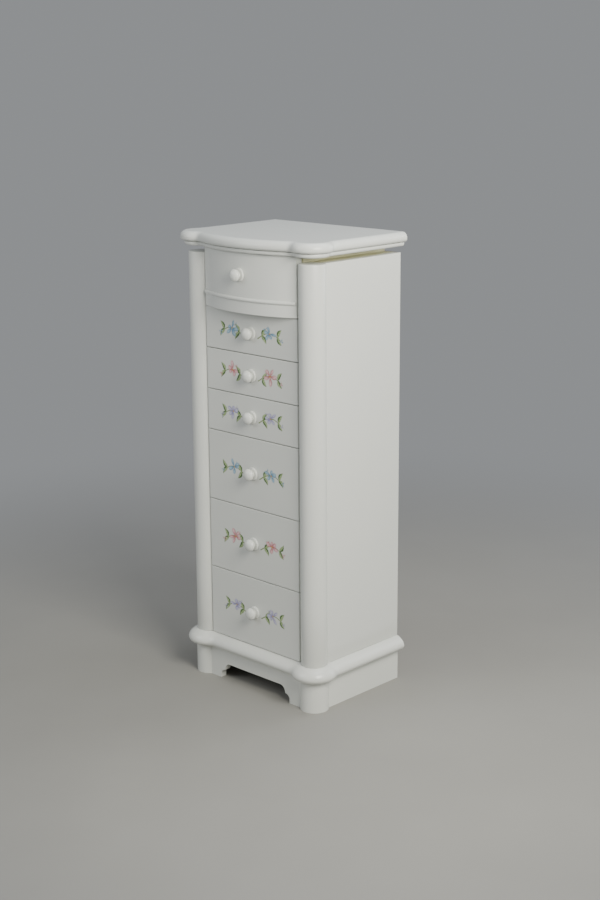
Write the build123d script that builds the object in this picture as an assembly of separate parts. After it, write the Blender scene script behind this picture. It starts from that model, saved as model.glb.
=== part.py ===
"""Tall narrow chest of seven drawers (semainier) in painted wood.

The frieze drawer at the top is bowed, the six below are flat, and a thick round
post stands at each front corner. Every separate piece is written to its own file.

Layout frame: +X to the right, +Y to the back, +Z up, y = 0 on the flat drawer
fronts, z = 0 on the floor. Each piece is moved by origin_shift as it is written,
which puts the origin under the middle of the whole chest.
"""
import os
from math import asin, atan2, cos, degrees, sin, sqrt

from build123d import *

# ---------------------------------------------------------------- overall sizes (mm)
overall_height = 1200.0
carcase_width = 440.0            # outside faces of the two side panels
carcase_depth = 318.0            # flat drawer fronts to the back edges

# ---------------------------------------------------------------- height stack
plinth_height = 86.0
base_board_thickness = 36.0
neck_height = 16.5               # recessed band between the carcase and the top
under_moulding_thickness = 10.0
spacer_thickness = 1.5           # dark line between the two mouldings
neck_overhang = 2.5              # of the neck's sides beyond the drawer opening
neck_setback = 1.0               # of the neck and the top panel behind the front rails
top_board_thickness = 25.0

# ---------------------------------------------------------------- corner posts
post_face_width = 56.5           # from the drawer opening to the side panel's outer face
post_radius = 34.0
post_axis_from_opening = 31.9
post_axis_depth = 19.8
edge_rounding = 2.0

# ---------------------------------------------------------------- boards
panel_thickness = 18.0
top_panel_thickness = 12.0
back_thickness = 4.0
back_rebate = 8.0                # how far the back panel is let into each side panel
panel_groove = 1.5               # small chamfer that draws the line between post and panel

# ---------------------------------------------------------------- mouldings and plinth
base_side_projection = 24.0      # beyond the side panels
base_front_projection = 21.0     # beyond the flat drawer fronts
base_corner_projection = 25.0    # beyond the posts
base_hollow_radius = 40.0        # where the corner runs into the front and the side
base_upper_radius = 22.0
base_lower_radius = 11.0
top_side_projection = 20.0
top_front_projection = 22.0      # beyond the bowed drawer
top_corner_projection = 20.0
top_hollow_radius = 22.0
top_upper_radius = 14.5
top_lower_radius = 8.0
under_moulding_setback = 10.0    # behind the edge of the top board
under_moulding_radius = 6.0
under_moulding_hollow = 20.0
spacer_setback = 16.0
spacer_hollow = 15.0
plinth_corner_radius = 37.0
plinth_front_projection = 4.0
plinth_side_projection = 1.0
apron_arch_height = 44.0
apron_foot_width = 34.5          # flat foot under each end of the apron
glue_block_width = 25.0

# ---------------------------------------------------------------- drawers
frieze_drawer_height = 136.0     # opening of the bowed drawer, up to the carcase top
small_drawer_height = 108.0
small_drawer_count = 3
large_drawer_count = 3
bow_depth = 36.7
bead_height = 9.5
bead_projection = 4.0
frieze_band_height = 32.0        # flat band under the bead
front_thickness = 18.0
front_gap = 1.25                 # all round each drawer front
front_edge_radius = 1.5
box_thickness = 12.0             # drawer sides and back
box_side_clearance = 3.0
box_top_clearance = 3.0
box_rear_clearance = 12.0
bottom_thickness = 4.0
bottom_groove_depth = 4.0
bottom_groove_clearance = 0.1
bottom_lift = 8.0                # underside of the drawer bottom above the side's lower edge
rail_thickness = 14.0
rail_setback = 1.0               # behind the back of the drawer fronts
rail_depth = 24.0
runner_gap = 0.25                # between the rails and the runners behind them
runner_seat_width = 14.0         # under each drawer side
running_clearance = 0.5
guide_clearance = 1.0
guide_width = 12.0
guide_height = 16.0

# ---------------------------------------------------------------- knobs and fixings
knob_base_radius = 17.0
knob_base_thickness = 4.2
knob_neck_radius = 7.5
knob_neck_length = 4.0
knob_head_radius = 15.8
knob_rim_radius = 7.2
knob_length = 25.5
screw_radius = 2.0
screw_bite = 13.0                # into the knob
screw_head_radius = 4.0
screw_head_height = 2.5
screw_hole_clearance = 0.4
knob_hole_clearance = 0.05
counterbore_radius = 7.0
pin_radius = 1.0
pin_length = 16.0
pin_head_radius = 3.0
pin_head_height = 1.0             # sunk flush with the back
pin_hole_clearance = 0.1
pins_per_side = 6

# ---------------------------------------------------------------- derived values
side_x = carcase_width / 2
inner_x = side_x - panel_thickness
opening_x = side_x - post_face_width
post_x = opening_x + post_axis_from_opening
post_y = post_axis_depth
seam_y = post_y + sqrt(post_radius**2 - (side_x - post_x) ** 2)   # post meets side panel
back_y = carcase_depth - back_thickness

base_top = plinth_height + base_board_thickness
top_bottom = overall_height - top_board_thickness
neck_top = top_bottom - spacer_thickness - under_moulding_thickness
carcase_top = neck_top - neck_height

large_drawer_height = (
    carcase_top - base_top - frieze_drawer_height - small_drawer_count * small_drawer_height
) / large_drawer_count

bow_radius = (opening_x**2 + bow_depth**2) / (2 * bow_depth)
bow_centre_y = bow_radius - bow_depth

rail_y = front_thickness + rail_setback
runner_y = max(seam_y, rail_y + rail_depth + runner_gap)

box_x = opening_x - box_side_clearance                  # outer face of the drawer sides
box_front = front_thickness
box_back = back_y - box_rear_clearance

front_extent = min(-bow_depth - knob_length, -bow_depth - top_front_projection)
origin_shift = Pos(0, -(front_extent + carcase_depth) / 2, 0)


# ---------------------------------------------------------------- helpers
def block(x0, x1, y0, y1, z0, z1):
    """Rectangular solid between the given limits."""
    return Pos((x0 + x1) / 2, (y0 + y1) / 2, (z0 + z1) / 2) * Box(x1 - x0, y1 - y0, z1 - z0)


def rectangle(x0, x1, y0, y1):
    """Rectangle in plan between the given limits."""
    return Pos((x0 + x1) / 2, (y0 + y1) / 2) * Rectangle(x1 - x0, y1 - y0)


def disc(x, y, radius):
    """Circle in plan, with its seam turned to the back."""
    return Pos(x, y) * Rot(0, 0, 90) * Circle(radius)


def slab(plan, z0, z1):
    """Plan outline made into a board between two heights."""
    return Pos(0, 0, z0) * extrude(plan, z1 - z0)


def left_of(shape):
    """Mirror image on the left side of the chest."""
    return mirror(shape, about=Plane.YZ)


def both(shape):
    """A right-hand solid and its mirror image."""
    return [shape, left_of(shape)]


def write(name, shapes):
    """Write one node: a solid, or a list of separate solids."""
    solids = [s for shape in (shapes if isinstance(shapes, list) else [shapes]) for s in shape.solids()]
    moved = [origin_shift * s for s in solids]
    export_step(moved[0] if len(moved) == 1 else Compound(children=moved), f"parts/{name}.step")


def corner_plan(radius, side, front_y):
    """Right-hand corner in plan: a round, squared off at the opening, the side and the back."""
    rear_y = post_y + sqrt(radius**2 - (side - post_x) ** 2)
    square = rectangle(opening_x, post_x, max(front_y, post_y - radius), rear_y)
    limits = rectangle(opening_x, post_x + radius + 1, post_y - radius - 1, rear_y)
    return (disc(post_x, post_y, radius) + square) & limits


def bow_plan(offset, half_width):
    """Bowed front in plan, standing the given distance in front of the frieze drawer."""
    return disc(0, bow_centre_y, bow_radius + offset) & rectangle(
        -half_width, half_width, -bow_depth - offset - 1, post_y
    )


def moulded_plan(side, corner_radius, front, blend):
    """Board in plan: straight sides and back, corners that follow the posts, hollow blends."""
    plan = rectangle(-side, side, post_y, carcase_depth) + front
    for x in (-post_x, post_x):
        plan += disc(x, post_y, corner_radius)
    hollows = plan.vertices().filter_by(lambda v: v.Y < carcase_depth - 1)
    return fillet(hollows, blend)


def rim(solid, z):
    """Edges of a board at one height, leaving out the straight back edge."""
    return solid.edges().filter_by_position(Axis.Z, z - 0.01, z + 0.01).filter_by(
        lambda e: e.center().Y < carcase_depth - 1
    )


# ---------------------------------------------------------------- plinth
def make_plinth():
    plinth_side = side_x + plinth_side_projection
    corner = slab(corner_plan(plinth_corner_radius, plinth_side, -plinth_front_projection), 0, plinth_height)
    corner_rear = post_y + sqrt(plinth_corner_radius**2 - (plinth_side - post_x) ** 2)

    # The apron's arch: flat top, and at each end an ogee broken by a small square step.
    foot_x = opening_x - apron_foot_width
    h = apron_arch_height
    outline = Polyline((0, -1), (foot_x, -1), (foot_x, 0.27 * h))
    outline += ThreePointArc((foot_x, 0.27 * h), (foot_x - 4, 0.45 * h), (foot_x - 15, 0.55 * h))
    outline += Line((foot_x - 15, 0.55 * h), (foot_x - 17, 0.68 * h))
    outline += ThreePointArc((foot_x - 17, 0.68 * h), (foot_x - 22, 0.9 * h), (foot_x - 33, h))
    outline += Polyline((foot_x - 33, h), (0, h), (0, -1))
    half = make_face(outline)
    arch = extrude(Plane.XZ * (half + mirror(half, about=Plane.YZ)), panel_thickness * 4, both=True)
    front_y = -plinth_front_projection
    apron = block(-opening_x, opening_x, front_y, front_y + panel_thickness, 0, plinth_height) - arch

    side = block(plinth_side - panel_thickness, plinth_side, corner_rear, carcase_depth, 0, plinth_height)
    rear_x = plinth_side - panel_thickness
    rear = block(-rear_x, rear_x, carcase_depth - panel_thickness, carcase_depth, 0, plinth_height)

    g = glue_block_width
    block_y = front_y + panel_thickness
    rear_block_y = carcase_depth - panel_thickness
    glue_blocks = both(block(opening_x - g, opening_x, block_y, block_y + g, g, plinth_height))
    glue_blocks += both(block(rear_x - g, rear_x, rear_block_y - g, rear_block_y, g, plinth_height))

    write("plinth_corner_right", corner)
    write("plinth_corner_left", left_of(corner))
    write("plinth_front", apron)
    write("plinth_side_right", side)
    write("plinth_side_left", left_of(side))
    write("plinth_back", rear)
    write("plinth_glue_blocks", glue_blocks)


# ---------------------------------------------------------------- mouldings and top
def make_base_board():
    front = rectangle(-post_x, post_x, -base_front_projection, post_y)
    corner_radius = post_radius + base_corner_projection
    plan = moulded_plan(side_x + base_side_projection, corner_radius, front, base_hollow_radius)
    board = slab(plan, plinth_height, base_top)
    board = fillet(rim(board, base_top), base_upper_radius)
    board = fillet(rim(board, plinth_height), base_lower_radius)
    write("base_board", board)


def make_top():
    def plan(setback, blend):
        return moulded_plan(
            side_x + top_side_projection - setback,
            post_radius + top_corner_projection - setback,
            bow_plan(top_front_projection - setback, post_x),
            blend,
        )

    board = slab(plan(0, top_hollow_radius), top_bottom, overall_height)
    board = fillet(rim(board, overall_height), top_upper_radius)
    board = fillet(rim(board, top_bottom), top_lower_radius)
    write("top_board", board)

    moulding_top = neck_top + under_moulding_thickness
    moulding = slab(plan(under_moulding_setback, under_moulding_hollow), neck_top, moulding_top)
    moulding = fillet(rim(moulding, neck_top), under_moulding_radius)
    spacer = slab(plan(spacer_setback, spacer_hollow), moulding_top, top_bottom)
    write("top_under_moulding", moulding + spacer)


def make_neck():
    t = panel_thickness
    neck_x = opening_x + neck_overhang
    front_y = rail_y + neck_setback
    side = block(neck_x - t, neck_x, front_y, carcase_depth, carcase_top, neck_top)
    front = block(t - neck_x, neck_x - t, front_y, front_y + t, carcase_top, neck_top)
    rear = block(t - neck_x, neck_x - t, carcase_depth - t, carcase_depth, carcase_top, neck_top)
    write("neck_rails", both(side) + [front, rear])


# ---------------------------------------------------------------- carcase
def make_carcase():
    post = slab(corner_plan(post_radius, side_x, post_y), base_top, carcase_top)
    post = fillet(post.faces().sort_by(Axis.Z)[-1].edges().filter_by(GeomType.CIRCLE), edge_rounding)
    write("corner_post_right", post)
    write("corner_post_left", left_of(post))

    side = block(inner_x, side_x, seam_y, carcase_depth, base_top, carcase_top)
    outer = side.edges().filter_by_position(Axis.X, side_x - 0.01, side_x + 0.01)
    side = chamfer(outer.filter_by(Axis.Z).sort_by(Axis.Y)[0], panel_groove)
    outer_top = side.edges().filter_by(Axis.Y).sort_by(lambda e: e.center().X + e.center().Z)[-1]
    side = fillet(outer_top, edge_rounding)
    back_x = inner_x + back_rebate
    side -= block(inner_x - 1, back_x, back_y, carcase_depth + 1, base_top - 1, carcase_top + 1)

    # Back panel, with a row of pins down each side.
    back = block(-back_x, back_x, back_y, carcase_depth, base_top, carcase_top)
    pin_x = (inner_x + back_x) / 2
    spacing = (carcase_top - base_top) / pins_per_side
    inwards = (Align.CENTER, Align.CENTER, Align.MIN)
    pins = []
    for n in range(pins_per_side):
        z = base_top + spacing * (n + 0.5)
        place = Pos(pin_x, carcase_depth, z) * Rot(90, 0, 0)
        shank = place * Cylinder(pin_radius, pin_length, align=inwards)
        head = place * Cylinder(pin_head_radius, pin_head_height, align=inwards)
        hole = place * Cylinder(pin_radius + pin_hole_clearance, 2 * pin_length + 2)
        sink = place * Cylinder(pin_head_radius + pin_hole_clearance, 2 * pin_head_height)
        side -= hole
        back -= both(hole) + both(sink)
        pins += both(shank + head)
    write("side_panel_right", side)
    write("side_panel_left", left_of(side))
    write("back_panel", back)
    write("back_panel_pins", pins)

    top_panel = slab(
        rectangle(-inner_x, inner_x, seam_y, back_y)
        + rectangle(-opening_x, opening_x, rail_y + neck_setback, seam_y),
        carcase_top - top_panel_thickness,
        carcase_top,
    )
    write("case_top_panel", top_panel)


def make_rails_and_runners(seams):
    half = rail_thickness / 2
    rails = [
        block(-opening_x, opening_x, rail_y, rail_y + rail_depth, z - half, z + half) for z in seams[1:]
    ]
    write("front_rails", rails)

    seats, guides = [], []
    seat_x = box_x - runner_seat_width
    guide_x = box_x + guide_clearance
    for z in seams:
        seat_bottom = max(z - half, base_top)
        seats.append(block(seat_x, inner_x, runner_y, back_y, seat_bottom, z + half))
        guides.append(
            block(guide_x, guide_x + guide_width, runner_y, back_y, z + half, z + half + guide_height)
        )
    write("drawer_runners_right", seats)
    write("drawer_runners_left", [left_of(s) for s in seats])
    write("drawer_guides", [g for guide in guides for g in both(guide)])


# ---------------------------------------------------------------- drawers
def make_knob(face_y, z, front_back_y, hole_depth):
    """Turned knob and the machine screw that holds it from inside the drawer."""
    base, neck, rim = knob_base_radius, knob_neck_radius, knob_rim_radius
    lip = knob_base_thickness
    outline = Polyline((0, 0), (base, 0), (base, -lip / 3))
    outline += ThreePointArc((base, -lip / 3), (base - 0.2 * lip, -0.75 * lip), (base - 0.7 * lip, -lip))
    # The head is a rounded rim closed by a dome; the dome's arc is centred on the knob's axis.
    rim_x = knob_head_radius - rim
    rim_y = -(lip + knob_neck_length + rim)
    height = knob_length + rim_y                           # dome's top beyond the rim's middle
    dome_radius = (height**2 + rim_x**2 - rim**2) / (2 * (height - rim))
    dome_y = dome_radius - knob_length
    lean = atan2(rim_x, dome_y - rim_y)                    # from the axis to where dome meets rim
    meet = (dome_radius * sin(lean), dome_y - dome_radius * cos(lean))
    crown = (dome_radius * sin(lean / 2), dome_y - dome_radius * cos(lean / 2))
    outline += Polyline((base - 0.7 * lip, -lip), (neck, -lip), (neck, rim_y + rim), (rim_x, rim_y + rim))
    outline += ThreePointArc((rim_x, rim_y + rim), (rim_x + rim, rim_y), meet)
    outline += ThreePointArc(meet, crown, (0, -knob_length))
    outline += Line((0, -knob_length), (0, 0))
    turned = revolve(make_face(outline), Axis.Y)
    bore = Rot(90, 0, 0) * Cylinder(screw_radius + knob_hole_clearance, 2 * (screw_bite + 1))
    knob = Pos(0, face_y, z) * (turned - bore)

    head_y = front_back_y - hole_depth                     # seat of the screw head
    length = head_y - face_y + screw_bite
    centre_min = (Align.CENTER, Align.CENTER, Align.MIN)
    centre_max = (Align.CENTER, Align.CENTER, Align.MAX)
    shank = Cylinder(screw_radius, length, align=centre_min)
    pan = Cylinder(screw_head_radius, screw_head_height, align=centre_max)
    screw = Pos(0, head_y, z) * Rot(90, 0, 0) * (shank + pan)
    return [knob, screw]


def make_front(z0, z1, bowed):
    """Drawer front, and the depth of the counterbore behind its knob."""
    width = opening_x - front_gap
    if bowed:
        front = slab(bow_plan(0, width) & rectangle(-width, width, -2 * bow_depth, front_thickness), z0, z1)
        front += block(-width, width, opening_y_at(width), front_thickness, z0, z1)
        return front, bow_depth
    front = block(-width, width, 0, front_thickness, z0, z1)
    face_edges = front.faces().sort_by(Axis.Y)[0].edges()
    return fillet(face_edges, front_edge_radius), 0.0


def opening_y_at(x):
    """Depth of the bowed face at one distance from the middle."""
    return bow_centre_y - sqrt(bow_radius**2 - x**2)


def make_drawer(number, z_low, z_high, box_top, bowed=False):
    name = f"drawer_{number}"
    front, counterbore = make_front(z_low + front_gap, z_high - front_gap, bowed)

    box_bottom = z_low + rail_thickness / 2 + running_clearance
    floor_z = box_bottom + bottom_lift
    inner = box_x - box_thickness
    groove_z = (floor_z - bottom_groove_clearance, floor_z + bottom_thickness + bottom_groove_clearance)
    deep = bottom_groove_depth

    side = block(inner, box_x, box_front, box_back, box_bottom, box_top)
    side -= block(inner - 1, inner + deep, box_front - 1, box_back + 1, *groove_z)
    back = block(-inner, inner, box_back - box_thickness, box_back, groove_z[1], box_top)
    reach = inner + deep - bottom_groove_clearance
    bottom_front = box_front - deep + bottom_groove_clearance
    bottom = block(-reach, reach, bottom_front, box_back, floor_z, floor_z + bottom_thickness)
    front -= block(-inner - deep, inner + deep, box_front - deep, box_front + 1, *groove_z)

    # Knob in the middle of the face, or of the panel above the bead on the bowed drawer.
    face_y = -bow_depth if bowed else 0.0
    panel_low = z_low + frieze_band_height + bead_height if bowed else z_low
    knob_z = (panel_low + z_high) / 2
    hole = Pos(0, 0, knob_z) * Rot(90, 0, 0) * Cylinder(screw_radius + screw_hole_clearance, 400)
    front -= hole
    if counterbore:
        well = Cylinder(counterbore_radius, 2 * counterbore)
        front -= Pos(0, front_thickness, knob_z) * Rot(90, 0, 0) * well
    write(f"{name}_front", front)
    write(f"{name}_sides", both(side))
    write(f"{name}_back", back)
    write(f"{name}_bottom", bottom)
    write(f"{name}_knob", make_knob(face_y, knob_z, front_thickness, counterbore))

    if bowed:
        z = z_low + frieze_band_height
        profile = make_face(
            Polyline((0, 0), (bead_height, 0))
            + ThreePointArc((bead_height, 0), (bead_height / 2, bead_projection), (0, 0))
        )
        # Stand the profile upright against the face and sweep it round the bow.
        span = degrees(asin((opening_x - front_gap) / (bow_radius + bead_projection)))
        place = Plane(origin=(0, -bow_depth, z), x_dir=(0, 0, 1), z_dir=(1, 0, 0))
        axis = Axis((0, bow_centre_y, 0), (0, 0, 1))
        half = revolve(place * profile, axis, span)
        write(f"{name}_bead", half + left_of(half))


# ---------------------------------------------------------------- build everything
def build():
    os.makedirs("parts", exist_ok=True)
    make_plinth()
    make_base_board()
    make_carcase()
    make_neck()
    make_top()

    seams = [base_top + n * large_drawer_height for n in range(large_drawer_count + 1)]
    seams += [seams[-1] + (n + 1) * small_drawer_height for n in range(small_drawer_count)]
    make_rails_and_runners(seams)

    count = len(seams)
    for index, z in enumerate(seams):
        number = count - index
        if number == 1:
            box_top = carcase_top - top_panel_thickness - box_top_clearance
            make_drawer(1, z, neck_top, box_top, bowed=True)
        else:
            z_high = seams[index + 1]
            make_drawer(number, z, z_high, z_high - rail_thickness / 2 - box_top_clearance)


build()
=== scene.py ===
"""Tall narrow chest of seven drawers: its painted surfaces, turned knobs and a plain painted sprig.

Lengths in this file are millimetres, measured from the middle of the chest (x), from the
face of the flat drawers (y, to the back) and from the floor (z). at() turns them to metres
in the frame of the CAD part.
"""

from math import acos, atan2, cos, pi, radians, sin, sqrt

import bpy
import numpy as np
from mathutils import Matrix, Vector


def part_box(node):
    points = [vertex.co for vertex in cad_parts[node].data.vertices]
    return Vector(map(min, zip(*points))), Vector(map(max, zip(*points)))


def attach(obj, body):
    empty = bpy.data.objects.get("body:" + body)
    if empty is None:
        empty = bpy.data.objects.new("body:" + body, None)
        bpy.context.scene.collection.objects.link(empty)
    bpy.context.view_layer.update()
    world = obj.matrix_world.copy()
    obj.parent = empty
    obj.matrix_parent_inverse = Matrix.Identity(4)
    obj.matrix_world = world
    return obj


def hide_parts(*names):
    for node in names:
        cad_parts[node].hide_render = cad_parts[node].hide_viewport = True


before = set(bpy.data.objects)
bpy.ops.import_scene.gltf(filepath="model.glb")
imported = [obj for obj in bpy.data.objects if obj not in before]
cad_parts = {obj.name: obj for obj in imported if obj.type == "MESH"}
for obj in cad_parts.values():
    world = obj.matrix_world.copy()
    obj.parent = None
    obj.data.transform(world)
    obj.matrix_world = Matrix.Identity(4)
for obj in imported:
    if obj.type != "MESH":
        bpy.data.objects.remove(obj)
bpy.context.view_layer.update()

MM = 0.001
FACE_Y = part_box("drawer_7_front")[0].y          # face of the flat drawers, in the CAD frame
BACK = (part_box("side_panel_right")[1].y - FACE_Y) / MM


def at(x, y, z):
    """A point given in millimetres, as the CAD frame's metres."""
    return Vector((x * MM, y * MM + FACE_Y, z * MM))


def span(node):
    """Lowest and highest corner of a CAD node, in this file's millimetres."""
    low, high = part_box(node)
    return [(c.x / MM, (c.y - FACE_Y) / MM, c.z / MM) for c in (low, high)]


# ---------------------------------------------------------------- shape of the carcase
SIDE_X = span("side_panel_right")[1][0]
OPENING_X = span("corner_post_right")[0][0]
POST_RADIUS, POST_X, POST_Y = 34.0, OPENING_X + 31.9, 19.8
PLINTH_RADIUS = 37.0
BASE_LOW, BASE_TOP = span("base_board")[0][2], span("base_board")[1][2]
CARCASE_TOP = span("corner_post_right")[1][2]
TOP_LOW, TOP_HIGH = span("top_board")[0][2], span("top_board")[1][2]
NECK_TOP = span("top_under_moulding")[0][2]
BOW_DEPTH = -span("drawer_1_front")[0][1]
BOW_RADIUS = (OPENING_X**2 + BOW_DEPTH**2) / (2 * BOW_DEPTH)
BOW_Y = BOW_RADIUS - BOW_DEPTH                  # centre of the bow's arc
BEAD_LOW, BEAD_HIGH = span("drawer_1_bead")[0][2], span("drawer_1_bead")[1][2]


# ---------------------------------------------------------------- materials
PAINT_RELIEF = 1.2                              # height of the paint over the bare enamel, in ridges


def colour(text):
    """A linear colour from an sRGB hex value."""
    parts = [int(text[i : i + 2], 16) / 255 for i in (1, 3, 5)]
    return tuple(p / 12.92 if p <= 0.04045 else ((p + 0.055) / 1.055) ** 2.4 for p in parts) + (1.0,)


def add(tree, kind, inputs=None, **settings):
    """Add one node with its settings; each input is given a value, or a socket to link from."""
    made = tree.nodes.new(kind)
    for name, value in settings.items():
        setattr(made, name, value)
    for key, value in (inputs or {}).items():
        if isinstance(value, bpy.types.NodeSocket):
            tree.links.new(value, made.inputs[key])
        else:
            made.inputs[key].default_value = value
    return made


def blank(name):
    """An empty material and its node tree."""
    material = bpy.data.materials.new(name)
    material.use_nodes = True
    material.node_tree.nodes.clear()
    return material, material.node_tree


def finish_material(tree, base, rough, normal, **constants):
    """Principled surface and output; constants are set on the shader's own sockets."""
    shader = add(tree, "ShaderNodeBsdfPrincipled", {"Base Color": base, "Roughness": rough, "Normal": normal})
    for name, value in constants.items():
        shader.inputs[name.replace("_", " ")].default_value = value
    add(tree, "ShaderNodeOutputMaterial", {"Surface": shader.outputs[0]})
    return shader


def enamel(name, brushed_along, flowers=False, rough=(0.20, 0.29), tones=("#d8dad4", "#dedfd8")):
    """Satin off-white oil enamel laid on with a brush over wood.

    It gives the eye a soft sheen, faint ridges 1.5 mm apart along the brush's way, and tone
    that drifts a little over a hand's breadth.
    """
    material, tree = blank(name)
    place = add(tree, "ShaderNodeTexCoord").outputs["Object"]
    stretch = {"x": (12, 340, 340), "z": (340, 340, 12), "y": (340, 12, 340)}[brushed_along]
    drift = add(tree, "ShaderNodeTexNoise", {"Vector": place, "Scale": 1000 / 170, "Detail": 3.0})
    tone = add(tree, "ShaderNodeMix", {0: drift.outputs["Fac"], 6: colour(tones[0]), 7: colour(tones[1])},
               data_type="RGBA")
    along = add(tree, "ShaderNodeMapping", {"Vector": place, "Scale": stretch})
    bristles = add(tree, "ShaderNodeTexNoise", {"Vector": along.outputs[0], "Scale": 2.0, "Detail": 2.0})
    speck = add(tree, "ShaderNodeTexNoise", {"Vector": place, "Scale": 1000 / 2.2, "Detail": 1.0})
    surface = tone.outputs[2]
    height = bristles.outputs["Fac"]
    if flowers:
        # The flowers are in a colour attribute: colour times cover, and the cover as alpha.
        paint = add(tree, "ShaderNodeAttribute", attribute_name="flower_paint")
        bare = add(tree, "ShaderNodeMix", {0: paint.outputs["Alpha"], 6: surface, 7: (0.0, 0.0, 0.0, 1.0)},
                   data_type="RGBA")
        surface = add(tree, "ShaderNodeMix", {0: 1.0, 6: bare.outputs[2], 7: paint.outputs["Color"]},
                      data_type="RGBA", blend_type="ADD").outputs[2]
        height = add(tree, "ShaderNodeMath", {0: paint.outputs["Alpha"], 1: PAINT_RELIEF, 2: height},
                     operation="MULTIPLY_ADD").outputs[0]
    sheen = add(tree, "ShaderNodeMapRange",
                {"Value": speck.outputs["Fac"], "To Min": rough[0], "To Max": rough[1]})
    ridges = add(tree, "ShaderNodeBump", {"Height": height, "Strength": 0.35, "Distance": 0.0001})
    peel = add(tree, "ShaderNodeBump", {"Height": speck.outputs["Fac"], "Strength": 0.25, "Distance": 0.0001,
                                        "Normal": ridges.outputs[0]})
    finish_material(tree, surface, sheen.outputs[0], peel.outputs[0], IOR=1.5)
    return material


def timber(name, pale, dark, ring_mm, rough, along):
    """Bare softwood, planed: straight grain in bands, pale early wood and darker late wood."""
    material, tree = blank(name)
    place = add(tree, "ShaderNodeTexCoord").outputs["Object"]
    scale = {"x": (0.06, 1, 1), "y": (1, 0.06, 1), "z": (1, 1, 0.06)}[along]
    grain = add(tree, "ShaderNodeMapping", {"Vector": place, "Scale": scale})
    rings = add(tree, "ShaderNodeTexNoise",
                {"Vector": grain.outputs[0], "Scale": 1000 / ring_mm, "Detail": 4.0, "Distortion": 0.6})
    fibre_scale = {"x": (20, 900, 900), "y": (900, 20, 900), "z": (900, 900, 20)}[along]
    fine = add(tree, "ShaderNodeMapping", {"Vector": place, "Scale": fibre_scale})
    fibres = add(tree, "ShaderNodeTexNoise", {"Vector": fine.outputs[0], "Scale": 1.6, "Detail": 2.0})
    bands = add(tree, "ShaderNodeMapRange",
                {"Value": rings.outputs["Fac"], "From Min": 0.35, "From Max": 0.65})
    wood = add(tree, "ShaderNodeMix", {0: bands.outputs[0], 6: colour(pale), 7: colour(dark)},
               data_type="RGBA")
    ticks = add(tree, "ShaderNodeMapRange", {"Value": fibres.outputs["Fac"], "From Min": 0.3, "From Max": 0.7,
                                             "To Min": 0.86, "To Max": 1.06})
    surface = add(tree, "ShaderNodeVectorMath", {0: wood.outputs[2], "Scale": ticks.outputs[0]},
                  operation="SCALE")
    gloss = add(tree, "ShaderNodeMapRange",
                {"Value": bands.outputs[0], "To Min": rough, "To Max": rough - 0.08})
    bump = add(tree, "ShaderNodeBump", {"Height": fibres.outputs["Fac"], "Strength": 0.3, "Distance": 0.0001})
    finish_material(tree, surface.outputs[0], gloss.outputs[0], bump.outputs[0], IOR=1.5)
    return material


def hardboard():
    """Pressed fibreboard: flat brown with short dark and pale fibres about 2 mm long."""
    material, tree = blank("pressed_hardboard")
    place = add(tree, "ShaderNodeTexCoord").outputs["Object"]
    fibres = add(tree, "ShaderNodeTexNoise",
                 {"Vector": place, "Scale": 1000 / 2.0, "Detail": 5.0, "Distortion": 1.5})
    spread = add(tree, "ShaderNodeMapRange",
                 {"Value": fibres.outputs["Fac"], "From Min": 0.3, "From Max": 0.7})
    tone = add(tree, "ShaderNodeMix", {0: spread.outputs[0], 6: colour("#5f4630"), 7: colour("#8a6a49")},
               data_type="RGBA")
    bump = add(tree, "ShaderNodeBump", {"Height": fibres.outputs["Fac"], "Strength": 0.2, "Distance": 0.0001})
    rough = add(tree, "ShaderNodeMapRange", {"Value": spread.outputs[0], "To Min": 0.6, "To Max": 0.72})
    finish_material(tree, tone.outputs[2], rough.outputs[0], bump.outputs[0])
    return material


def zinc():
    """Zinc-plated steel pins and screws: grey metal, faintly blotched and turned."""
    material, tree = blank("zinc_plated_steel")
    place = add(tree, "ShaderNodeTexCoord").outputs["Object"]
    blotch = add(tree, "ShaderNodeTexNoise", {"Vector": place, "Scale": 1000 / 3.0, "Detail": 3.0})
    tone = add(tree, "ShaderNodeMix", {0: blotch.outputs["Fac"], 6: colour("#a9aaa8"), 7: colour("#c3c4c2")},
               data_type="RGBA")
    rough = add(tree, "ShaderNodeMapRange", {"Value": blotch.outputs["Fac"], "To Min": 0.26, "To Max": 0.42})
    bump = add(tree, "ShaderNodeBump", {"Height": blotch.outputs["Fac"], "Strength": 0.1, "Distance": 0.0001})
    finish_material(tree, tone.outputs[2], rough.outputs[0], bump.outputs[0], Metallic=1.0)
    return material


ENAMEL_UPRIGHT = enamel("satin_enamel_brushed_upright", "z")
ENAMEL_ACROSS = enamel("satin_enamel_brushed_across", "x")
ENAMEL_FLOWERS = enamel("satin_enamel_with_painted_flowers", "x", flowers=True)
# Painted light: the neck is white like the rest, but here the enamel gets a yellower cream tone and a duller
# sheen. The tone stands in for the warm light reflected into the shaded gap under the top.
ENAMEL_NECK = enamel("undercoated_enamel_in_the_neck", "x", rough=(0.4, 0.5), tones=("#d0cda8", "#d8d5b2"))
ENAMEL_KNOB = enamel("gloss_enamel_on_turned_beech", "x", rough=(0.16, 0.24))
PINE_UPRIGHT = timber("bare_pine_upright", "#d9b98c", "#b98f5d", 9, 0.62, "z")
PINE_ACROSS = timber("bare_pine_across", "#d9b98c", "#b98f5d", 9, 0.62, "x")
PINE_DEEP = timber("bare_pine_front_to_back", "#d9b98c", "#b98f5d", 9, 0.62, "y")
BOX_ACROSS = timber("sealed_beech_across", "#d8b58a", "#c49a6b", 6, 0.42, "x")
BOX_DEEP = timber("sealed_beech_front_to_back", "#d8b58a", "#c49a6b", 6, 0.42, "y")
PLYWOOD = timber("birch_plywood", "#dcc19a", "#cfae80", 22, 0.5, "y")
HARDBOARD = hardboard()
ZINC = zinc()


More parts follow.
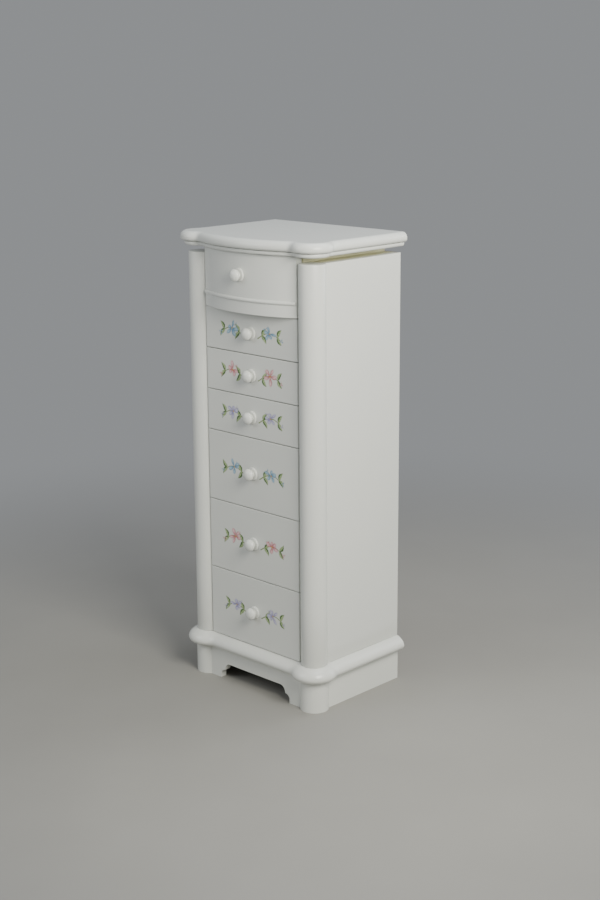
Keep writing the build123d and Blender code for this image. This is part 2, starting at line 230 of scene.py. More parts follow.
# ---------------------------------------------------------------- making pieces
def piece(name, points, faces, material, body, slot, *nodes, sharp=35):
    """A finished piece: its mesh smoothed below the sharp angle, riding on its body."""
    mesh = bpy.data.meshes.new(name)
    mesh.from_pydata([tuple(at(*p)) for p in points], [], faces)
    mesh.validate()
    mesh.polygons.foreach_set("use_smooth", [True] * len(mesh.polygons))
    mesh.set_sharp_from_angle(angle=radians(sharp))
    mesh.materials.append(material)
    made = bpy.data.objects.new(name, mesh)
    bpy.context.scene.collection.objects.link(made)
    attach(made, body)
    if nodes:
        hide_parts(*nodes)
    return made


def arc(centre, radius, start, end, steps):
    """Points of an arc between two angles, both ends included."""
    turns = np.linspace(start, end, steps + 1)
    return [(centre[0] + radius * cos(a), centre[1] + radius * sin(a)) for a in turns]


def heading(a, b):
    """Angle of the line from a to b."""
    return atan2(b[1] - a[1], b[0] - a[0])


def mirrored(half):
    """Closed outline from its right half, which runs from the middle of the front to the back."""
    left = [(-x, y) for x, y in reversed(half)]
    return half + (left[:-1] if abs(half[0][0]) < 1e-6 else left)


def moulded_outline(side, corner, blend, bow=None, front=None, inset=0.0):
    """Plan of a moulded board: hollow blends join round corners to the sides and the front.

    bow is the radius of a bowed front; otherwise front is how far a straight one stands out.
    inset moves the outline inwards and keeps every point's partner.
    """
    post = (POST_X, POST_Y)
    reach = corner + blend
    side_hollow = (side + blend, POST_Y + sqrt(reach**2 - (side + blend - POST_X) ** 2))
    if bow:
        centre, far = (0.0, BOW_Y), bow + blend
        gap = sqrt(POST_X**2 + (POST_Y - BOW_Y) ** 2)
        turn = acos((far**2 + gap**2 - reach**2) / (2 * far * gap))
        lean = heading(centre, post) - turn
        front_hollow = (far * cos(lean), BOW_Y + far * sin(lean))
        half = arc(centre, bow - inset, -pi / 2, lean, 40)
        first = lean + pi
    else:
        front_hollow = (POST_X - sqrt(reach**2 - (POST_Y + front + blend) ** 2), -front - blend)
        half = [(x, inset - front) for x in np.linspace(0, front_hollow[0], 12)]
        first = pi / 2
    last = heading(front_hollow, post)
    half += arc(front_hollow, blend + inset, first, last, 14)[1:]
    half += arc(post, corner - inset, last - pi, heading(post, side_hollow), 56)[1:]
    half += arc(side_hollow, blend + inset, heading(post, side_hollow) + pi, pi, 14)[1:]
    half += [(side - inset, y) for y in np.linspace(side_hollow[1], BACK, 12)[1:]]
    return mirrored(half)


def stacked(rings):
    """Points and faces of a closed skin over rings of equally many points, from the lowest up."""
    count = len(rings[0])
    points = [p for ring in rings for p in ring]
    faces = []
    for r in range(len(rings) - 1):
        low, high = r * count, (r + 1) * count
        faces += [(low + i, low + (i + 1) % count, high + (i + 1) % count, high + i) for i in range(count)]
    faces += [tuple(reversed(range(count))), tuple(range(len(points) - count, len(points)))]
    return points, faces


def quarter(radius, z, start, steps, height=None):
    """Insets and heights along a rounded edge: start 0 is at its outside, 1 on the flat above."""
    height = height or radius
    turns = np.linspace(0, pi / 2, steps + 1)
    if start:
        return [(radius * (1 - cos(t)), z + height * sin(t)) for t in turns]
    return [(radius * (1 - sin(t)), z - height * cos(t)) for t in turns]


# ---------------------------------------------------------------- mouldings
BASE_NOSE = 98.5                                # height at which the base board's nose stands out most
BASE_COVE = [(1.2, 103), (3.6, 107.6), (7.2, 111.8), (11.8, 115.6), (16.8, 118.6), (21.6, 120.7),
             (25.6, 121.8), (28, BASE_TOP)]     # insets and heights from the nose up to the carcase
TOP_NOSE = 15.0                                 # height of the rounding on the top board's upper edge
OVOLO, FILLET = 6.0, 10.0                       # the small moulding's round, and the height of its upper edge


def moulding(name, edge, node, **plan):
    """A moulded board: its edge, as insets and heights, carried round its plan."""
    rings = [[(x, y, z) for x, y in moulded_outline(inset=inset, **plan)] for inset, z in edge]
    points, faces = stacked(rings)
    piece(name, points, faces, ENAMEL_ACROSS, "carcase", "white_painted_wood", node)


moulding(
    "base_moulded_board",
    [(24, BASE_LOW)] + quarter(11, BASE_NOSE, 0, 10, BASE_NOSE - BASE_LOW) + BASE_COVE,
    "base_board", side=SIDE_X + 24, corner=POST_RADIUS + 25, blend=40, front=21,
)
moulding(
    "top_moulded_board",
    [(11, TOP_LOW)] + quarter(8, TOP_LOW + 8, 0, 8) + quarter(15.5, TOP_HIGH - TOP_NOSE, 1, 14, TOP_NOSE)
    + [(19, TOP_HIGH)],
    "top_board", side=SIDE_X + 20, corner=POST_RADIUS + 20, blend=22, bow=BOW_RADIUS + 22,
)
moulding(
    "top_ovolo_moulding",
    [(9, NECK_TOP)] + quarter(OVOLO, NECK_TOP + OVOLO, 0, 8)
    + [(0, NECK_TOP + 8.6), (0.5, NECK_TOP + 9.6), (1.5, NECK_TOP + FILLET), (6, NECK_TOP + FILLET),
       (6, TOP_LOW)],
    "top_under_moulding", side=SIDE_X + 10, corner=POST_RADIUS + 10, blend=20, bow=BOW_RADIUS + 12,
)


# ---------------------------------------------------------------- corner posts and plinth corners
FOOT_EASE = 1.3                                 # eased arris that draws a dark line on the base board
POST_ROUNDING = 2.5                             # rounding at the head of a post
PLINTH_FRONT = -4.0                             # front of the plinth's corner, before the drawers' face


def corner_piece(name, radius, side, low, high, rounding, node, mirror=1, front=None):
    """A post or plinth corner: three quarters of a round, squared where the boards meet it."""
    rear = POST_Y + sqrt(radius**2 - (side - POST_X) ** 2)
    start = -pi + acos(min(1, (POST_X - OPENING_X) / radius))
    if front is not None:
        start = -pi / 2 - acos(max(-1, (POST_Y - front) / radius))
    end = heading((POST_X, POST_Y), (side, rear))

    def ring(z, inset):
        outline = arc((POST_X, POST_Y), radius - inset, start, end, 64)
        outline += [(OPENING_X + inset, outline[-1][1])]
        if front is not None:
            outline += [(OPENING_X + inset, front)]
        return [(mirror * x, y, z) for x, y in outline][::mirror]

    edge = [(low, FOOT_EASE), (low + 0.4 * FOOT_EASE, 0.4 * FOOT_EASE)] if rounding else [(low, 0.0)]
    edge += [(z, 0.0) for z in np.linspace(low + 1.2 * FOOT_EASE, high - rounding, 8)]
    edge += [(high - rounding + h, i) for i, h in quarter(rounding, 0, 1, 4)[1:]] if rounding else []
    points, faces = stacked([ring(z, inset) for z, inset in edge])
    piece(name, points, faces, ENAMEL_UPRIGHT, "carcase", "white_painted_wood", node)


for hand, sign in (("right", 1), ("left", -1)):
    corner_piece(f"turned_post_{hand}", POST_RADIUS, SIDE_X, BASE_TOP, CARCASE_TOP, POST_ROUNDING,
                 f"corner_post_{hand}", sign)
    corner_piece(f"plinth_round_{hand}", PLINTH_RADIUS, SIDE_X + 1, 0.0, BASE_LOW, 0.0,
                 f"plinth_corner_{hand}", sign, front=PLINTH_FRONT)


# ---------------------------------------------------------------- the painted sprigs
class Canvas:
    """Brushwork over all the drawer fronts: colour times cover, and cover, every half millimetre."""

    def __init__(self, x_range, z_range, step=0.5):
        self.x = np.arange(x_range[0], x_range[1] + step, step)
        self.z = np.arange(z_range[0], z_range[1] + step, step)
        self.paint = np.zeros((len(self.z), len(self.x), 4))
        self.step = step

    def window(self, x, z, reach):
        """The canvas within reach of a point: its rows and columns, and the offsets from the point."""
        rows = slice(*np.searchsorted(self.z, (z - reach, z + reach)))
        columns = slice(*np.searchsorted(self.x, (x - reach, x + reach)))
        right, up = np.meshgrid(self.x[columns] - x, self.z[rows] - z)
        return (rows, columns), right, up

    def lay(self, place, tint, cover):
        """Lay one stroke over what is there. Tint is one linear colour, or one for each point."""
        cover = np.clip(cover, 0, 1)[..., None]
        stroke = np.concatenate([np.broadcast_to(tint, cover.shape[:2] + (3,)) * cover, cover], axis=2)
        self.paint[place] = self.paint[place] * (1 - cover) + stroke

    def sample(self, x, z):
        """Paint at points of a drawer front."""
        column = np.clip(np.round((x - self.x[0]) / self.step).astype(int), 0, len(self.x) - 1)
        row = np.clip(np.round((z - self.z[0]) / self.step).astype(int), 0, len(self.z) - 1)
        inside = (x > self.x[0]) & (x < self.x[-1])
        return self.paint[row, column] * inside[:, None]


def hue(text):
    """A linear colour for the brush, from an sRGB hex value."""
    return np.array(colour(text)[:3])


def ease(value):
    """Smooth step from 0 to 1."""
    value = np.clip(value, 0, 1)
    return value * value * (3 - 2 * value)


def blend(a, b, share):
    """A mix of two colours, by a share for each point."""
    return a + (b - a) * np.asarray(share)[..., None]


def petal(canvas, x, z, lean, length, width, root, tip, seed, bend):
    """One petal drawn outwards from its root; lean is degrees clockwise from upright.

    Colour runs from root to tip in streaks left by the bristles, and fine veins and a curled
    rim repeat the root's colour. A thin grey wash first darkens what lies under the petal.
    """
    place, right, up = canvas.window(x, z, 1.15 * length + 4)
    a = radians(lean)
    along = (right * sin(a) + up * cos(a)) / length
    across = (right * cos(a) - up * sin(a)) - bend * length * along**2
    t = np.clip(along, 0, 1)
    half = width / 2 * np.sin(pi * t**1.5) ** 0.62 + 0.001
    fan = np.clip(across / half, -1.2, 1.2)
    rng = np.random.default_rng(seed)
    ruffle = sum(rng.uniform(0.2, 1) * np.sin(fan * f + rng.uniform(0, 6)) for f in (4.1, 7.7)) * 0.035
    inside = np.minimum((half - abs(across)), (1 - along + ruffle) * length * 0.6)
    canvas.lay(place, hue("#6c716d"), ease((inside + 3.0) / 5.0) * (along > 0.1) * 0.22)
    cover = ease(inside / 0.6 + 0.2) * (along > 0) * 0.9
    streak = sum(rng.uniform(0.5, 1) * np.sin(fan * f + 3 * t + rng.uniform(0, 6)) for f in (9, 15, 23)) / 3
    shade = blend(hue(root), hue(tip), ease(t * 1.22 + 0.38 * streak * (1 - 0.4 * t)))
    veins = (0.5 + 0.5 * np.sin(fan * rng.uniform(9, 14) + 2 * streak + rng.uniform(0, 6))) ** 3
    shade = blend(shade, hue(root), veins * np.clip(1.25 - t, 0, 1) * ease((fan + 1.1) / 0.8) * 0.4)
    side = rng.choice([-1, 1])
    curl = ease((side * fan - 0.2) / 0.9) * 0.55
    rim = np.exp(-(((inside - 1.6) / 1.5) ** 2)) * 0.45 * ease(t * 2)
    shade = blend(shade, hue(root), np.clip(curl + rim, 0, 0.9))
    shade = blend(shade, hue("#f4f4ef"), ease((1.0 - inside) / 1.2) * 0.6 * ease(t * 2 - 0.5))
    canvas.lay(place, shade, cover)


def curve(points, steps=14):
    """Points of a smooth line through the given ones."""
    p = np.array([points[0], *points, points[-1]], float)
    out = []
    for i in range(1, len(p) - 2):
        t = np.linspace(0, 1, steps, endpoint=False)[:, None]
        out.append(0.5 * (2 * p[i] + (p[i + 1] - p[i - 1]) * t
                          + (2 * p[i - 1] - 5 * p[i] + 4 * p[i + 1] - p[i + 2]) * t**2
                          + (3 * p[i] - p[i - 1] - 3 * p[i + 1] + p[i + 2]) * t**3))
    return np.vstack(out + [p[-1]])


def stem(canvas, points, width, low, high):
    """One brush line, lighter along its right side and a quarter thinner at its far end."""
    line = curve(points)
    middle, reach = (line.max(0) + line.min(0)) / 2, np.ptp(line, axis=0).max() / 2 + width + 1
    place, right, up = canvas.window(*middle, reach)
    here = np.stack([right + middle[0], up + middle[1]], axis=2)
    best = np.full(right.shape, 1e9)
    side, share = np.zeros(right.shape), np.zeros(right.shape)
    for i, (a, b) in enumerate(zip(line[:-1], line[1:])):
        step = b - a
        t = np.clip(((here - a) @ step) / max(step @ step, 1e-9), 0, 1)
        gap = here - (a + t[..., None] * step)
        far = np.hypot(gap[..., 0], gap[..., 1])
        closer = far < best
        best[closer] = far[closer]
        side[closer], share[closer] = gap[..., 0][closer], (i + t[closer]) / (len(line) - 1)
    half = width / 2 * (1 - 0.25 * share)
    shade = blend(hue(low), hue(high), ease(0.5 + side / (2 * half)))
    canvas.lay(place, shade, ease((half - best) / 0.7 + 0.3) * 0.95)


def leaf(canvas, x, z, lean, length, width, seed):
    """A pointed leaf in two halves, one in the light, with a pale rib and slanting veins."""
    dark, mid, pale = hue("#3a5827"), hue("#779a45"), hue("#c9d6aa")
    length, width = 1.08 * length, 1.06 * width
    place, right, up = canvas.window(x, z, 1.1 * length)
    a = radians(lean)
    along = (right * sin(a) + up * cos(a)) / length
    across = right * cos(a) - up * sin(a)
    rng = np.random.default_rng(seed + 77)
    across = across - 0.10 * length * np.sin(pi * np.clip(along, 0, 1)) * rng.choice([-1, 1])
    t = np.clip(along, 0, 1)
    half = width / 2 * np.sin(pi * t**0.72) ** 0.9 * (1 - 0.25 * t) * 1.15 + 0.001
    fan = across / half
    alpha = ease((half - abs(across)) / 0.9) * (along > 0) * (along < 1) * 0.97
    ribs = np.sin(30 * (t - 0.30 * abs(fan)) + rng.uniform(0, 6))
    lit = ease(0.5 + fan * 1.8 * rng.choice([-1, 1]))
    shade = blend(dark, mid, np.clip(0.1 + 0.75 * lit + 0.2 * t, 0, 1))
    shade = blend(shade, pale, np.clip(lit * (0.25 + 0.75 * ease(ribs)) * np.sin(pi * t) ** 0.7, 0, 1))
    shade = blend(shade, dark, ease((-ribs - 0.6) / 0.4) * 0.55)
    shade = blend(shade, pale, ease(1 - abs(across) / 1.0) * 0.7 * (1 - 0.6 * t))
    shade = blend(shade, dark, ease((abs(fan) - 0.78) / 0.25) * 0.7)
    canvas.lay(place, shade, alpha)


def dab(canvas, x, z, size, tint):
    """A round touch of the brush's tip."""
    place, right, up = canvas.window(x, z, size + 1)
    canvas.lay(place, hue(tint), ease((size / 2 - np.hypot(right, up)) / 0.8 + 0.4) * 0.9)


def small_bloom(canvas, x, z, size, root, tip, heart, seed, petals=5):
    """A small open flower with a dot at its heart."""
    rng = np.random.default_rng(seed)
    turn = rng.uniform(0, 72)
    for k in range(petals):
        petal(canvas, x, z, turn + 360 * k / petals + rng.uniform(-22, 22), size * rng.uniform(0.7, 1.2),
              size * rng.uniform(0.38, 0.62), root, tip, seed * 10 + k, rng.uniform(-0.15, 0.15))
    dab(canvas, x, z, size * 0.24, heart)


SPRIG_TINTS = (                                 # a petal's root and tip, and the flower's heart
    ("#b8505c", "#f3d3d5", "#c79a3e"),
    ("#7f78b2", "#dcd9e8", "#c2a24a"),
    ("#3f7aa3", "#b5d2e0", "#c2a24a"),
)
STEM_PATH = ((26, -10), (52, 4), (80, 6), (104, -6))    # distance from the knob's middle, and rise
LEAF_PAIRS = ((40, -2), (94, 1))
BUDS = ((108, -8), (54, 16))
BLOOM = (67, 6)
STEM_WIDTH, LEAF_LENGTH, LEAF_WIDTH, BUD_SIZE, BLOOM_SIZE = 3.2, 24, 11, 7, 21


def sprig(canvas, side, z, tints, seed):
    """A plain sprig beside a knob: one arched stem, paired leaves, a five-petalled flower, two buds."""
    stem(canvas, [(side * far, z + rise) for far, rise in STEM_PATH], STEM_WIDTH, "#4f6a30", "#8fa258")
    for k, (far, rise) in enumerate(LEAF_PAIRS):
        for way in (-1, 1):
            lean = side * (90 - 52 * way)
            leaf(canvas, side * far, z + rise, lean, LEAF_LENGTH, LEAF_WIDTH, seed + 3 * k + way)
    for far, rise in BUDS:
        small_bloom(canvas, side * far, z + rise, BUD_SIZE, *tints, seed + far, petals=3)
    small_bloom(canvas, side * BLOOM[0], z + BLOOM[1], BLOOM_SIZE, *tints, seed + 9)


def paint_flowers():
    """The same sprig to the left and right of each knob, its colour changing from drawer to drawer."""
    canvas = Canvas((-150, 150), (BASE_TOP, NECK_TOP))
    for number in range(2, 8):
        low, high = span(f"drawer_{number}_front")
        middle, tints = (low[2] + high[2]) / 2, SPRIG_TINTS[number % 3]
        for side in (-1, 1):
            sprig(canvas, side, middle, tints, 100 * number + 40 * (side > 0))
    return canvas


FLOWERS = paint_flowers()


# ---------------------------------------------------------------- side panels
def side_panel(name, node, mirror):
    """One side board, eased along its outer edges, with the rebate that takes the back."""
    (x0, y0, z0), (x1, y1, z1) = span("side_panel_right")
    rebate_x, rebate_y = span("back_panel")[1][0], span("back_panel")[0][1]
    ease_top, bevel = 2.0, 1.5

    def ring(z, out):
        """Plan of the board; out is how far its outer edges are eased back."""
        outline = [(x0, y0), (x1 - bevel, y0)]
        outline += [(x1 - out, y) for y in np.linspace(y0 + bevel, y1 - bevel, 10)]
        outline += [(x1 - bevel, y1), (rebate_x, y1), (rebate_x, rebate_y), (x0, rebate_y)]
        return [(mirror * x, y, z) for x, y in outline][::mirror]

    rings = [ring(z0, FOOT_EASE), ring(z0 + 0.4 * FOOT_EASE, 0.4 * FOOT_EASE)]
    rings += [ring(z, 0.0) for z in np.linspace(z0 + 1.2 * FOOT_EASE, z1 - ease_top, 24)]
    rings += [ring(z1 - ease_top + h, i) for i, h in quarter(ease_top, 0, 1, 5)[1:]]
    points, faces = stacked(rings)
    piece(name, points, faces, ENAMEL_UPRIGHT, "carcase", "white_painted_wood", node)


side_panel("eased_side_board_right", "side_panel_right", 1)
side_panel("eased_side_board_left", "side_panel_left", -1)


# ---------------------------------------------------------------- drawer fronts
EASED = 1.0                                     # radius of the fronts' eased edges
GRID = 1.2                                      # spacing of the points that carry the brushwork
GRID_REACH = 148                                # how far they go to each side of the middle
EDGE_STRIP = 6                                  # width of the plain strip at each end
WELL_RADIUS = 7.0                               # well behind the bowed front, for its knob's screw


def drawer_front(number, bowed=False):
    """A drawer front whose face is fine enough to carry the brushwork as a colour at each point."""
    node = f"drawer_{number}_front"
    (x0, y0, z0), (x1, y1, z1) = span(node)
    lip = EASED * np.array([0, 0.15, 0.45, 1])
    across = np.arange(-GRID_REACH, GRID_REACH + 0.1, GRID)
    upwards = np.arange(z0 + EASED + GRID, z1 - EASED - GRID / 2, GRID)
    x = np.concatenate([x0 + lip, [x0 + EDGE_STRIP], across, [x1 - EDGE_STRIP], x1 - lip[::-1]])
    z = np.concatenate([z0 + lip, upwards, z1 - lip[::-1]])
    right, up = np.meshgrid(x, z)
    off = np.hypot(np.clip(EASED - np.minimum(right - x0, x1 - right), 0, None),
                   np.clip(EASED - np.minimum(up - z0, z1 - up), 0, None))
    depth = EASED - np.sqrt(np.clip(EASED**2 - np.minimum(off, EASED) ** 2, 0, None))
    if bowed:
        depth = depth + BOW_Y - np.sqrt(BOW_RADIUS**2 - right**2)
    face = np.stack([right, depth, up], axis=2).reshape(-1, 3)
    index = np.arange(len(face)).reshape(len(z), len(x))
    squares = np.stack([index[:-1, :-1], index[:-1, 1:], index[1:, 1:], index[1:, :-1]], axis=2)
    faces = squares.reshape(-1, 4).tolist()

    # Edges, back, and on the bowed drawer the well that takes the head of the knob's screw.
    rim = np.concatenate([index[0, :-1], index[:-1, -1], index[-1, :0:-1], index[:0:-1, 0]])
    rings = [rim, face[rim] * (1, 0, 1) + (0, y1, 0)]
    if bowed:
        knob_z = sum(corner[2] for corner in span(f"drawer_{number}_knob")) / 2
        turns = np.arctan2(face[rim][:, 2] - knob_z, face[rim][:, 0])
        well_x, well_z = WELL_RADIUS * np.cos(turns), knob_z + WELL_RADIUS * np.sin(turns)
        for y in (y1, y1 - BOW_DEPTH):
            rings.append(np.stack([well_x, np.full(len(rim), y), well_z], axis=1))
    count, start, before = len(rim), len(face), rim
    for ring in rings[1:]:
        now = np.arange(start, start + count)
        faces += np.stack([before, now, np.roll(now, -1), np.roll(before, -1)], axis=1).tolist()
        before, start = now, start + count
    faces.append(before[::-1].tolist())
    made = piece(f"painted_front_{number}", np.vstack([face] + rings[1:]), faces, ENAMEL_FLOWERS,
                 f"drawer_{number}", "white_painted_wood", node, sharp=50)
    paint = np.zeros((len(made.data.vertices), 4), np.float32)
    paint[: len(face)] = FLOWERS.sample(face[:, 0], face[:, 2])
    layer = made.data.attributes.new("flower_paint", "FLOAT_COLOR", "POINT")
    layer.data.foreach_set("color", paint.ravel())


# ---------------------------------------------------------------- turned knobs and their screws
SCREW_HEAD = [(4.0, 0), (3.9, 1.2), (3.3, 2.0), (2.4, 2.35), (1.4, 2.3), (1.3, 1.3), (0, 1.3)]
KNOB = [
    (17, 0), (17, 2.0), (16.6, 3.1), (15.6, 3.9), (14.1, 4.2), (11.4, 4.3), (9.2, 4.7), (8.0, 5.6),
    (7.6, 6.6), (7.9, 7.6), (9.2, 8.3), (11.8, 9.4), (13.9, 11.0), (15.3, 13.1), (15.8, 15.4), (15.5, 17.7),
    (14.3, 20.0), (12.2, 22.1), (9.4, 23.8), (6.3, 24.9), (3.2, 25.4), (0, 25.5),
]


def turned(profile, seat, z, outward, count=56):
    """Points and faces turned about a front-to-back axis.

    The profile is radius and distance out, from the seat to the middle of the end. Outward is
    -1 for a piece that stands to the front and 1 for one that stands to the back.
    """
    points, turns = [(0, seat, z)], np.arange(count) * 2 * pi / count
    for radius, out in profile[:-1]:
        points += [(radius * cos(a), seat + outward * out, z + radius * sin(a)) for a in turns]
    points.append((0, seat + outward * profile[-1][1], z))
    last, rows, faces = len(points) - 1, len(profile) - 1, []
    for i in range(count):
        j = (i + 1) % count
        faces.append((0, 1 + i, 1 + j))
        for row in range(rows - 1):
            a, b = 1 + row * count, 1 + (row + 1) * count
            faces.append((a + i, b + i, b + j, a + j))
        faces.append((last, last - count + j, last - count + i))
    return points, [face[::-1] for face in faces] if outward > 0 else faces


def knob_and_screw(number):
    """A drawer's turned knob on its face, and the head of the screw that holds it from behind."""
    node, body = f"drawer_{number}_knob", f"drawer_{number}"
    z = sum(corner[2] for corner in span(node)) / 2
    bowed = number == 1
    points, faces = turned(KNOB, -BOW_DEPTH if bowed else 0.0, z, -1)
    piece(f"turned_knob_{number}", points, faces, ENAMEL_KNOB, body, "white_painted_knob", node, sharp=60)
    rear = span(f"drawer_{number}_front")[1][1]
    points, faces = turned(SCREW_HEAD, rear - BOW_DEPTH if bowed else rear, z, 1, count=32)
    piece(f"knob_screw_head_{number}", points, faces, ZINC, body, "steel_pins")


for number in range(1, 8):
    drawer_front(number, bowed=number == 1)
    knob_and_screw(number)


# ---------------------------------------------------------------- made with Geometry Nodes
def node_tree(name, **sizes):
    """A Geometry Nodes tree with named inputs; returns it with its group input and output."""
    tree = bpy.data.node_groups.new(name, "GeometryNodeTree")
    tree.interface.new_socket("Geometry", in_out="OUTPUT", socket_type="NodeSocketGeometry")
    for label, value in sizes.items():
        kind = {float: "NodeSocketFloat", int: "NodeSocketInt"}.get(type(value), "NodeSocketMaterial")
        tree.interface.new_socket(label.replace("_", " "), in_out="INPUT", socket_type=kind)
    return tree, add(tree, "NodeGroupInput"), add(tree, "NodeGroupOutput")


def grown(name, tree, sizes, body, slot, *nodes, sharp=35):
    """Run a tree with its inputs set, and keep the result as a plain mesh on a body."""
    made = bpy.data.objects.new(name, bpy.data.meshes.new(name))
    bpy.context.scene.collection.objects.link(made)
    grower = made.modifiers.new("grower", "NODES")
    grower.node_group = tree
    for socket in tree.interface.items_tree:
        if socket.in_out == "INPUT":
            grower[socket.identifier] = sizes[socket.name.replace(" ", "_")]
    mesh = bpy.data.meshes.new_from_object(made.evaluated_get(bpy.context.evaluated_depsgraph_get()))
    made.modifiers.clear()
    made.data = mesh
    mesh.polygons.foreach_set("use_smooth", [True] * len(mesh.polygons))
    mesh.set_sharp_from_angle(angle=radians(sharp))
    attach(made, body)
    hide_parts(*nodes)


def bead():
    """Half-round bead bent along the bowed drawer, where its face meets the band below."""
    low, high = span("drawer_1_front")
    height, proud = BEAD_HIGH - BEAD_LOW, 4.0
    sizes = dict(
        Bow_Radius=BOW_RADIUS * MM, Half_Turn=float(np.arcsin(high[0] / (BOW_RADIUS + proud))),
        Bead_Height=height * MM, Bead_Projection=proud * MM, Bow_Centre=float(at(0, BOW_Y, 0).y),
        Bead_Middle=(BEAD_LOW + BEAD_HIGH) / 2 * MM, Paint=ENAMEL_ACROSS,
    )
    tree, given, out = node_tree("half_round_bead", **sizes)
    size = given.outputs
    start = add(tree, "ShaderNodeMath", {0: -pi / 2, 1: size["Half Turn"]}, operation="SUBTRACT")
    sweep = add(tree, "ShaderNodeMath", {0: size["Half Turn"], 1: 2.0}, operation="MULTIPLY")
    path = add(tree, "GeometryNodeCurveArc", {"Resolution": 97, "Radius": size["Bow Radius"],
                                              "Start Angle": start.outputs[0],
                                              "Sweep Angle": sweep.outputs[0]})
    round_half = add(tree, "GeometryNodeCurveArc", {"Resolution": 15, "Radius": 1.0, "Start Angle": -pi / 2,
                                                    "Sweep Angle": pi})
    half_height = add(tree, "ShaderNodeMath", {0: size["Bead Height"], 1: 0.5}, operation="MULTIPLY")
    stretch = add(tree, "ShaderNodeCombineXYZ",
                  {"X": size["Bead Projection"], "Y": half_height.outputs[0], "Z": 1.0})
    section = add(tree, "GeometryNodeTransform",
                  {"Geometry": round_half.outputs[0], "Scale": stretch.outputs[0]})
    closed = add(tree, "GeometryNodeSetSplineCyclic", {"Geometry": section.outputs[0], "Cyclic": True})
    strip = add(tree, "GeometryNodeCurveToMesh",
                {"Curve": path.outputs[0], "Profile Curve": closed.outputs[0], "Fill Caps": True})
    place = add(tree, "ShaderNodeCombineXYZ", {"Y": size["Bow Centre"], "Z": size["Bead Middle"]})
    moved = add(tree, "GeometryNodeTransform",
                {"Geometry": strip.outputs[0], "Translation": place.outputs[0]})
    whole = add(tree, "GeometryNodeRealizeInstances", {"Geometry": moved.outputs[0]})
    painted = add(tree, "GeometryNodeSetMaterial", {"Geometry": whole.outputs[0], "Material": size["Paint"]})
    tree.links.new(painted.outputs[0], out.inputs[0])
    grown("half_round_bead", tree, sizes, "drawer_1", "white_painted_wood", "drawer_1_bead", sharp=50)


def back_pins():
    """Two rows of flat-headed panel pins that hold the back in its rebates."""
    low, high = span("back_panel_pins")
    radius, rows = 3.0, 6
    first, last = low[2] + radius, high[2] - radius
    sizes = dict(
        Pins_Each_Side=rows, Row_Spacing=(last - first) / (rows - 1) * MM, Head_Radius=radius * MM,
        Head_Height=1.0 * MM, Side_Distance=(high[0] - radius) * MM, Back_Face=float(at(0, high[1], 0).y),
        Lowest=first * MM, Metal=ZINC,
    )
    tree, given, out = node_tree("panel_pins", **sizes)
    size = given.outputs
    head = add(tree, "GeometryNodeMeshCone", {"Vertices": 20, "Radius Top": size["Head Radius"],
                                              "Radius Bottom": size["Head Radius"],
                                              "Depth": size["Head Height"]})
    step = add(tree, "ShaderNodeCombineXYZ", {"Z": size["Row Spacing"]})
    left = add(tree, "ShaderNodeMath", {0: size["Side Distance"], 1: -1.0}, operation="MULTIPLY")
    join = add(tree, "GeometryNodeJoinGeometry")
    for side in (size["Side Distance"], left.outputs[0]):
        start = add(tree, "ShaderNodeCombineXYZ", {"X": side, "Y": size["Back Face"], "Z": size["Lowest"]})
        row = add(tree, "GeometryNodeMeshLine", {"Count": size["Pins Each Side"], "Offset": step.outputs[0],
                                                 "Start Location": start.outputs[0]})
        tree.links.new(row.outputs[0], join.inputs[0])
    heads = add(tree, "GeometryNodeInstanceOnPoints", {"Points": join.outputs[0], "Instance": head.outputs[0],
                                                       "Rotation": (pi / 2, 0.0, 0.0)})
    whole = add(tree, "GeometryNodeRealizeInstances", {"Geometry": heads.outputs[0]})
    coated = add(tree, "GeometryNodeSetMaterial", {"Geometry": whole.outputs[0], "Material": size["Metal"]})
    tree.links.new(coated.outputs[0], out.inputs[0])
    grown("panel_pin_heads", tree, sizes, "carcase", "steel_pins", "back_panel_pins")


bead()
back_pins()


# ---------------------------------------------------------------- camera, light and floor
def aim(position, yaw, pitch, roll):
    """Camera placing from its heading to the left of +Y, its tilt and its roll, in degrees."""
    yaw, pitch, roll = radians(yaw), radians(pitch), radians(roll)
    ahead = Vector((sin(yaw) * cos(pitch), cos(yaw) * cos(pitch), sin(pitch)))
    right = ahead.cross(Vector((0, 0, 1))).normalized()
    up = right.cross(ahead)
    right, up = right * cos(roll) + up * sin(roll), up * cos(roll) - right * sin(roll)
    turn = Matrix((right, up, -ahead)).transposed().to_4x4()
    return Matrix.Translation(position) @ turn


camera = bpy.data.objects.new("camera", bpy.data.cameras.new("camera"))
bpy.context.scene.collection.objects.link(camera)
camera.matrix_world = aim(at(2750, -2663, 1638), -44.10, -14.41, -0.426)
camera.data.sensor_width = 36.0
camera.data.lens = 62.0
bpy.context.scene.camera = camera


def lamp(name, position, target, size, watts, tint):
    """A soft square light looking at a point."""
    light = bpy.data.lights.new(name, "AREA")
    light.size, light.energy, light.color = size, watts, colour(tint)[:3]
    made = bpy.data.objects.new(name, light)
    made.location = at(*position)
    made.rotation_euler = (at(*target) - at(*position)).to_track_quat("-Z", "Y").to_euler()
    bpy.context.scene.collection.objects.link(made)


lamp("window", (1980, -560, 1850), (0, 60, 1000), 1.1, 74, "#fffdf4")
lamp("room", (-1500, -2900, 2300), (0, 0, 700), 1.8, 35, "#f6faff")
lamp("behind", (1100, 2500, 1500), (0, 300, 600), 1.6, 22, "#f6faff")
lamp("ceiling", (300, 300, 2500), (0, 100, 1200), 1.2, 15, "#eef4ff")

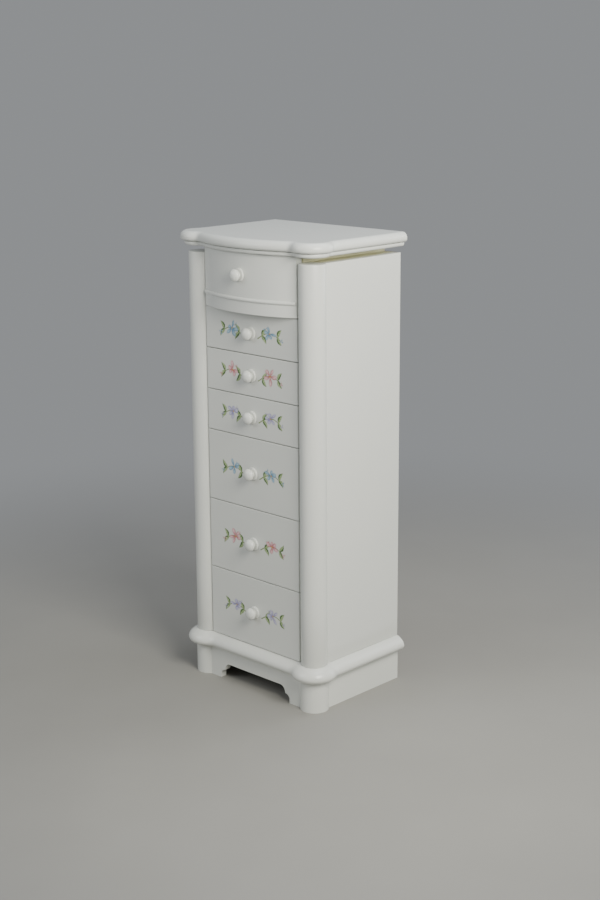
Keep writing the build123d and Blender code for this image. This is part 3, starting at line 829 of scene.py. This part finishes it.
BACKDROP, BACKDROP_STRENGTH = "#c6c9cc", 0.5
world = bpy.data.worlds.new("studio")
world.use_nodes = True
world.node_tree.nodes["Background"].inputs["Color"].default_value = colour(BACKDROP)
world.node_tree.nodes["Background"].inputs["Strength"].default_value = BACKDROP_STRENGTH
bpy.context.scene.world = world

floor_mesh = bpy.data.meshes.new("floor")
FLOOR_REACH = 30000
corners = ((-1, -1), (1, -1), (1, 1), (-1, 1))
floor_mesh.from_pydata([at(FLOOR_REACH * x, FLOOR_REACH * y, 0) for x, y in corners], [], [(0, 1, 2, 3)])
floor = bpy.data.objects.new("floor", floor_mesh)
bpy.context.scene.collection.objects.link(floor)
floor_paint, floor_tree = blank("pale_studio_floor")
floor_place = add(floor_tree, "ShaderNodeTexCoord").outputs["Object"]
floor_noise = add(floor_tree, "ShaderNodeTexNoise", {"Vector": floor_place, "Scale": 3.0, "Detail": 4.0})
floor_tone = add(floor_tree, "ShaderNodeMix",
                 {0: floor_noise.outputs["Fac"], 6: colour("#908e88"), 7: colour("#9a9892")},
                 data_type="RGBA")
floor_bump = add(floor_tree, "ShaderNodeBump", {"Height": floor_noise.outputs["Fac"], "Strength": 0.02})
surface = add(floor_tree, "ShaderNodeBsdfPrincipled",
              {"Base Color": floor_tone.outputs[2], "Roughness": 0.7, "Normal": floor_bump.outputs[0]})
backdrop = add(floor_tree, "ShaderNodeEmission", {"Color": colour(BACKDROP), "Strength": BACKDROP_STRENGTH})
far = add(floor_tree, "ShaderNodeVectorMath", {0: floor_place}, operation="LENGTH")
fade = add(floor_tree, "ShaderNodeMapRange",
           {"Value": far.outputs["Value"], "From Min": 0.55, "From Max": 2.6},
           interpolation_type="SMOOTHSTEP")
cove = add(floor_tree, "ShaderNodeMixShader",
           {0: fade.outputs[0], 1: surface.outputs[0], 2: backdrop.outputs[0]})
add(floor_tree, "ShaderNodeOutputMaterial", {"Surface": cove.outputs[0]})
floor.data.materials.append(floor_paint)


# ---------------------------------------------------------------- finish
def repaint(nodes, material):
    """Give CAD nodes a better material."""
    for node in nodes:
        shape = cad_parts[node]
        for place in shape.material_slots:
            place.material = material


repaint(["side_panel_left", "side_panel_right", "corner_post_left", "corner_post_right"], ENAMEL_UPRIGHT)
repaint(["plinth_corner_left", "plinth_corner_right", "plinth_front", "plinth_side_left", "plinth_side_right",
         "base_board", "top_board", "top_under_moulding", "drawer_1_bead"], ENAMEL_ACROSS)
# The neck pieces take the enamel whose cream tone is painted warm reflected light.
repaint(["neck_rails", "case_top_panel"], ENAMEL_NECK)
repaint(["front_rails", "plinth_back"], PINE_ACROSS)
repaint(["drawer_runners_left", "drawer_runners_right", "drawer_guides"], PINE_DEEP)
repaint(["plinth_glue_blocks"], PINE_UPRIGHT)
repaint(["back_panel"], HARDBOARD)
repaint(["back_panel_pins"], ZINC)
for number in range(1, 8):
    repaint([f"drawer_{number}_front"], ENAMEL_ACROSS)
    repaint([f"drawer_{number}_knob"], ENAMEL_KNOB)
    repaint([f"drawer_{number}_sides"], BOX_DEEP)
    repaint([f"drawer_{number}_back"], BOX_ACROSS)
    repaint([f"drawer_{number}_bottom"], PLYWOOD)
